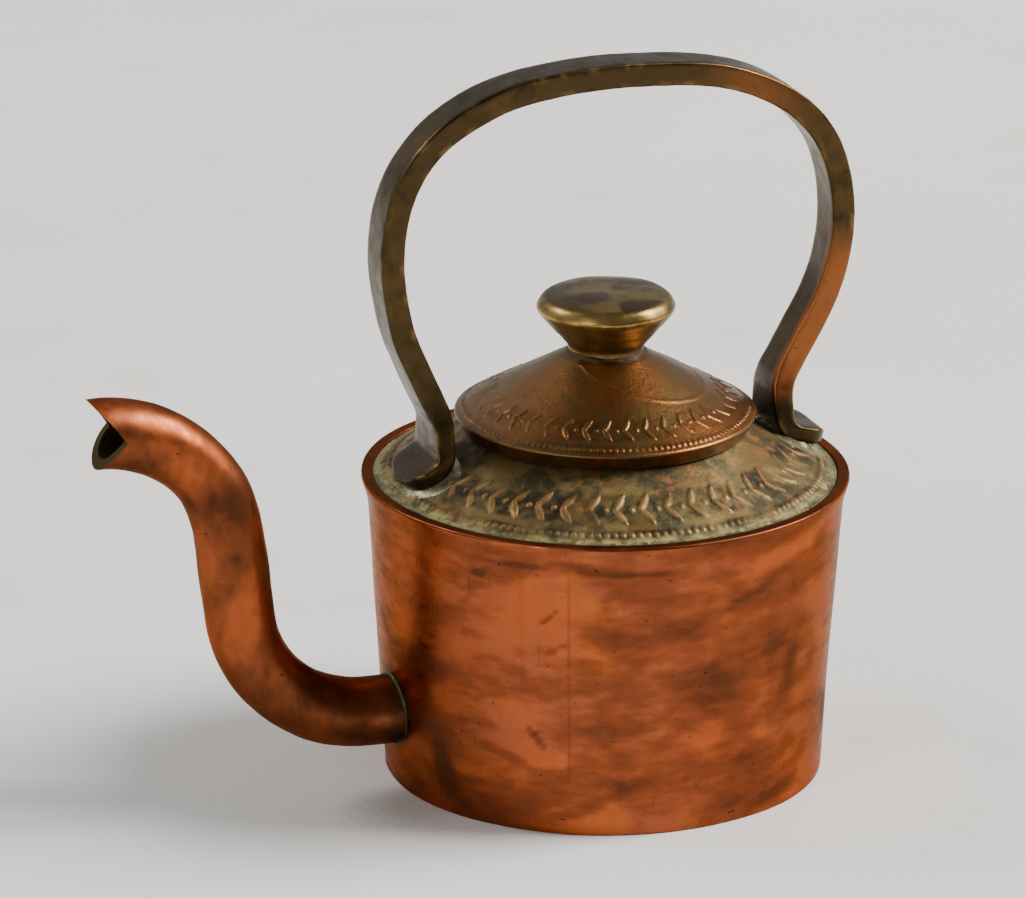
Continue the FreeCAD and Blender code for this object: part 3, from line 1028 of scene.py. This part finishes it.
def alongPath(start, heading, steps, distance):
    # position and heading at a distance along the path
    heading = math.radians(heading)
    x, z = start
    for index, (radius, turn) in enumerate(steps):
        length = stepLength(radius, turn)
        last = index == len(steps) - 1
        share = distance / length if distance < length or last else 1.0
        if turn is None:
            dx, dz = shiftAlong(heading, radius * share, None)
        else:
            dx, dz = shiftAlong(heading, radius, turn * share)
        x, z, heading = x + dx, z + dz, heading + math.radians((turn or 0) * share)
        if share < 1.0 or last:
            return x, z, heading
        distance -= length


def sweepFaces(rings, width, closedEnds=True):
    # faces between rings of width points each
    faces = []
    for i in range(rings - 1):
        for k in range(width):
            n = (k + 1) % width
            faces.append((i * width + k, i * width + n, (i + 1) * width + n, (i + 1) * width + k))
    if closedEnds:
        faces.append(tuple(reversed(range(width))))
        faces.append(tuple(range((rings - 1) * width, rings * width)))
    return faces


# spout
spoutHigh = boxInMm("spout")[1]
spoutSize = {
    "radius": spoutHigh.y,
    "wall": 0.68,
    "axisZ": 5.37,
    "run": 2.88,
    "lowBend": 9.0,
    "rise": 5.55,
    "highBend": 9.1,
    "turn": 83.2,
    "beak": 0.54,
    "notch": 2.0,
    "lipBack": 0.4,
    "sides": 72,
    "stations": 230,
    "cutRings": 14,
    "edgeRounding": 0.12,
    "solderInner": 2.2,
    "solderSpread": 0.34,
    "solderRise": 0.42,
    "solderSides": 120,
    "solderRings": 7,
}


def spoutRadiusAt(share):
    # drawn a little thinner in the bends, where the tube was pulled
    bends = math.exp(-((share - 0.30) / 0.13) ** 2) + math.exp(-((share - 0.78) / 0.13) ** 2)
    return spoutSize["radius"] * (1 - 0.03 * bends)


def makeSpout():
    # outer rings from the root to the mouth, then inner rings back; the notch is filed across the end
    size = spoutSize
    start = (spoutHigh.x, size["axisZ"])
    steps = [(size["run"], None), (size["lowBend"], -size["turn"]), (size["rise"], None),
             (size["highBend"], size["turn"]), (size["beak"], None)]
    length = pathLength(steps)
    straightEnd = length - size["notch"] * 1.6
    points, tarnish, green = [], [], []
    sides, stations, cutRings = size["sides"], size["stations"], size["cutRings"]

    def ring(index, inset):
        for k in range(sides):
            angle = 2 * math.pi * k / sides
            full = spoutRadiusAt(index / stations) - inset
            high = abs(math.cos(angle)) * full / size["radius"]
            lip = 0 if math.cos(angle) > 0 else size["lipBack"]
            tip = length - lip - (size["notch"] - lip) * (1 - high)
            if index <= stations - cutRings:
                distance = straightEnd * index / (stations - cutRings)
            else:
                share = (index - stations + cutRings) / cutRings
                distance = straightEnd + (tip - straightEnd) * share
            x, z, heading = alongPath(start, 180, steps, distance)
            up = Vector((math.sin(heading), 0, -math.cos(heading)))
            point = Vector((x, 0, z)) + up * full * math.cos(angle) + Vector((0, full * math.sin(angle), 0))
            outward = (point - Vector((x, 0, z))).normalized()
            if inset < 0.1:
                point += outward * (wobble(point, 3.5, 0.11, 5.0) + wobble(point, 1.1, 0.02, 2.0))
            points.append(point)
            share = index / stations
            dark = 0.4 + 0.9 * noise.noise(point / 4.0 + Vector((2.0, 0, 5.0)))
            tarnish.append(max(0.0, min(1.0, dark)) if inset < 0.1 else 1.0)
            mouth = smooth(0.93, 1.0, share) if inset >= 0.1 else 0.0
            root = 0.45 * smooth(0.10, 0.05, share)
            green.append(max(mouth * 0.9, root))

    for index in range(stations + 1):
        ring(index, 0.0)
    ring(stations, size["edgeRounding"])
    ring(stations, size["wall"] - size["edgeRounding"])
    for index in range(stations, -1, -1):
        ring(index, size["wall"])
    rings = 2 * (stations + 1) + 2
    faces = sweepFaces(rings, sides, closedEnds=False)
    final = (rings - 1) * sides
    faces += [(final + k, final + (k + 1) % sides, (k + 1) % sides, k) for k in range(sides)]
    makePiece("spout_tube", points, faces, "kettle", "spout", spoutCopper,
              marks={"tarnish": tarnish, "green": green, "score": [0.0] * len(points)}, sharpAngle=50)


def makeSpoutSolder():
    # a thin collar that lies on the body's wall and climbs the tube
    size = spoutSize
    points = []
    sides, rings = size["solderSides"], size["solderRings"]
    for i in range(rings):
        share = i / (rings - 1)
        for k in range(sides):
            angle = 2 * math.pi * k / sides
            ragged = 1 + 0.5 * noise.noise(Vector((math.cos(angle), math.sin(angle), 0)) * 2.5)
            reach = size["radius"] - 0.05 + size["solderSpread"] * ragged * (1 - share) ** 1.5
            y, z = reach * math.cos(angle), size["axisZ"] + reach * math.sin(angle)
            wall = math.sqrt(bodyOuter(z) ** 2 - y * y)
            out = size["solderRise"] * ragged * share ** 1.6 - 0.12 * (1 - share)
            points.append(Vector((-wall - out, y, z)))
    faces = sweepFaces(rings, sides, closedEnds=False)
    inner = len(points)
    for k in range(sides):
        angle = 2 * math.pi * k / sides
        y, z = size["solderInner"] * math.cos(angle), size["axisZ"] + size["solderInner"] * math.sin(angle)
        points.append(Vector((-math.sqrt(bodyOuter(z) ** 2 - y * y) + 0.2, y, z)))
    last = (rings - 1) * sides
    for k in range(sides):
        n = (k + 1) % sides
        faces.append((last + k, last + n, inner + n, inner + k))
        faces.append((inner + k, inner + n, n, k))
    makePiece("spout_solder_ring", points, faces, "kettle", "spout_solder", rootSolder)


makeSpout()
makeSpoutSolder()
print("spout ready")


# handle
handleHigh = boxInMm("handle")[1]
handleSize = {
    "width": 3.0,
    "thickness": 1.6,
    "crown": (41.0, 8.2),
    "corners": [(13.9, 25.0), (9.9, 46.6), (13.4, 38.0)],
    "leg": 4.49,
    "ankle": (3.2, -27.8),
    "drop": 1.2,
    "instep": (1.4, -62.2),
    "instepRight": (1.4, -76.0),
    "toe": 2.1,
    "toeRight": 2.3,
    "footWidth": 5.4,
    "footThickness": 1.1,
    "footLength": 2.9,
    "tipLength": 1.6,
    "flareLength": 5.5,
    "rounding": 0.16,
    "elbowSwell": 0.22,
    "elbowAt": 15.5,
    "elbowSpan": 5.0,
    "lean": 0.45,
    "squeeze": 0.012,
    "spacing": 0.16,
    # where the front edge shows copper: heights on the right leg, and middle and half width on the crown
    "copperLeg": (24.0, 25.5, 33.0, 37.0),
    "copperCrown": (10.0, 3.0),
}


def barSection(width, thickness, rounding):
    # a flat bar's section as (across its width, over its thickness), corner by corner
    halfW, halfT = width / 2, thickness / 2
    rounding = min(rounding, halfT * 0.6, halfW * 0.6)
    section = []
    for sideW, sideT, first in ((1, -1, -90), (1, 1, 0), (-1, 1, 90), (-1, -1, 180)):
        for k in range(4):
            angle = math.radians(first + 30 * k)
            section.append((sideW * (halfW - rounding) + rounding * math.cos(angle),
                            sideT * (halfT - rounding) + rounding * math.sin(angle)))
        if sideW == sideT:
            along = [sideW * a for a in (0.75, 0.5, 0.25, 0.0, -0.25, -0.5, -0.75)]
            section += [(a * (halfW - rounding), sideT * halfT) for a in along]
        else:
            along = [sideW * a for a in (-0.5, 0.0, 0.5)]
            section += [(sideW * halfW, a * (halfT - rounding)) for a in along]
    return section


def handleCopperAt(point, height, front, side):
    # coppery wear on the front edge of the right leg and beside the crown's middle
    rootLow, rootHigh, endLow, endHigh = handleSize["copperLeg"]
    middle, half = handleSize["copperCrown"]
    leg = smooth(endHigh, endLow, height) * smooth(rootLow, rootHigh, height) * front if side > 0 else 0.0
    crown = 0.4 * front * math.exp(-((point.x - middle) / half) ** 2) if height > 40 else 0.0
    return max(leg * 0.85, crown)


def makeHandle():
    # swept from the left toe over the crown to the right toe; each side has its own foot
    size = handleSize
    steps = [size["crown"], *size["corners"], (size["leg"], None), size["ankle"], (size["drop"], None),
             size["instep"], (size["toe"], None)]
    stepsRight = [*steps[:-2], size["instepRight"], (size["toeRight"], None)]
    length = pathLength(steps)
    start = (0, handleHigh.z - size["thickness"] / 2)
    count = round(2 * length / size["spacing"])
    points, coppery, edge = [], [], []
    for index in range(count + 1):
        side = -1 if 2 * index < count else 1
        sideSteps = steps if side < 0 else stepsRight
        reach = pathLength(sideSteps)
        distance = abs(2 * index / count - 1) * reach * 0.9995
        footStart = reach - size["footLength"]
        tipStart = reach - size["tipLength"]
        x, z, heading = alongPath(start, 180, sideSteps, distance)
        spread = smooth(footStart - size["flareLength"], tipStart, distance)
        width = size["width"] + (size["footWidth"] - size["width"]) * spread
        thickness = size["thickness"] + (size["footThickness"] - size["thickness"]) * spread
        if distance > tipStart:
            share = (distance - tipStart) / size["tipLength"]
            width *= math.sqrt(max(0.0004, 1 - share * share))
            thickness *= max(0.3, 1 - share ** 4)
        swell = size["elbowSwell"] * math.exp(-((distance - size["elbowAt"]) / size["elbowSpan"]) ** 2)
        outward = Vector((math.sin(heading), -math.cos(heading)))
        for across, over in barSection(width, thickness, size["rounding"]):
            px, pz = x + outward.x * (over + swell), z + outward.y * (over + swell)
            point = Vector((px if side < 0 else -px, across, pz))
            point.x += (size["lean"] - size["squeeze"] * point.x) * smooth(24.0, 35.0, pz)
            point += Vector((0, 1, 0)) * wobble(point, 6.0, 0.10, 2.0)
            dent = wobble(point, 4.0, 0.07, 5.0) + wobble(point, 0.8, 0.018, 1.0)
            point += Vector((-side * outward.x, 0, outward.y)) * dent
            points.append(point)
            # painted highlight: light patches along the bar's corners, broken up by noise
            corner = abs(abs(across) - width / 2) < 0.2 and abs(abs(over) - thickness / 2) < 0.2
            worn = smooth(-0.1, 0.4, noise.noise(point / 1.5 + Vector((4, 0, 0))))
            edge.append(worn if corner else 0.0)
            front = smooth(-0.4, -0.9, across / (width / 2))
            coppery.append(handleCopperAt(point, pz, front, side))
    faces = sweepFaces(count + 1, len(points) // (count + 1))
    marks = {"purple": [0.0] * len(points), "coppery": coppery, "edge": edge}
    makePiece("handle_bar", points, faces, "kettle", "handle", handleBrass,
              sharpAngle=60, marks=marks)


# solder under the handle's feet; spread is its half size to the right and to the back
footPatch = {
    "left": {"centre": (-12.6, -1.0), "spread": (2.2, 3.0), "height": 0.45, "seed": 1.0},
    "right": {"centre": (13.0, -0.6), "spread": (2.4, 3.3), "height": 0.85, "seed": 2.0},
    "sides": 96,
    "rings": 16,
}


def makeFootSolder(side):
    # a low, lumpy puddle lying on the shoulder's cone
    patch = footPatch[side]
    centre, spread, seed = patch["centre"], patch["spread"], patch["seed"]
    sides, rings = footPatch["sides"], footPatch["rings"]
    points = []
    for i in range(rings + 1):
        share = i / rings
        for k in range(sides):
            angle = 2 * math.pi * k / sides
            ragged = 1 + 0.22 * noise.noise(Vector((math.cos(angle) * 1.6, math.sin(angle) * 1.6, seed)))
            x = centre[0] + spread[0] * ragged * share * math.cos(angle)
            y = centre[1] + spread[1] * ragged * share * math.sin(angle)
            lump = patch["height"] * (1 - share ** 3) * (1 + 0.5 * noise.noise(Vector((x, y, seed)) / 0.8))
            cone = shoulderTop(math.hypot(x, y))
            points.append(Vector((x, y, cone - 0.04 * share + lump * (1 - share ** 2))))
    faces = sweepFaces(rings + 1, sides, closedEnds=False)
    outer = rings * sides
    under = len(points)
    for k in range(sides):
        rim = points[outer + k]
        points.append(Vector((rim.x, rim.y, rim.z - 0.12)))
    for k in range(sides):
        n = (k + 1) % sides
        faces.append((outer + k, outer + n, under + n, under + k))
    faces.append(tuple(range(under + sides - 1, under - 1, -1)))
    faces.append(tuple(range(sides)))
    makePiece("foot_solder_" + side, points, faces, "kettle", "handle_solder_" + side, footSolder)


makeHandle()
makeFootSolder("left")
makeFootSolder("right")
print("handle ready")
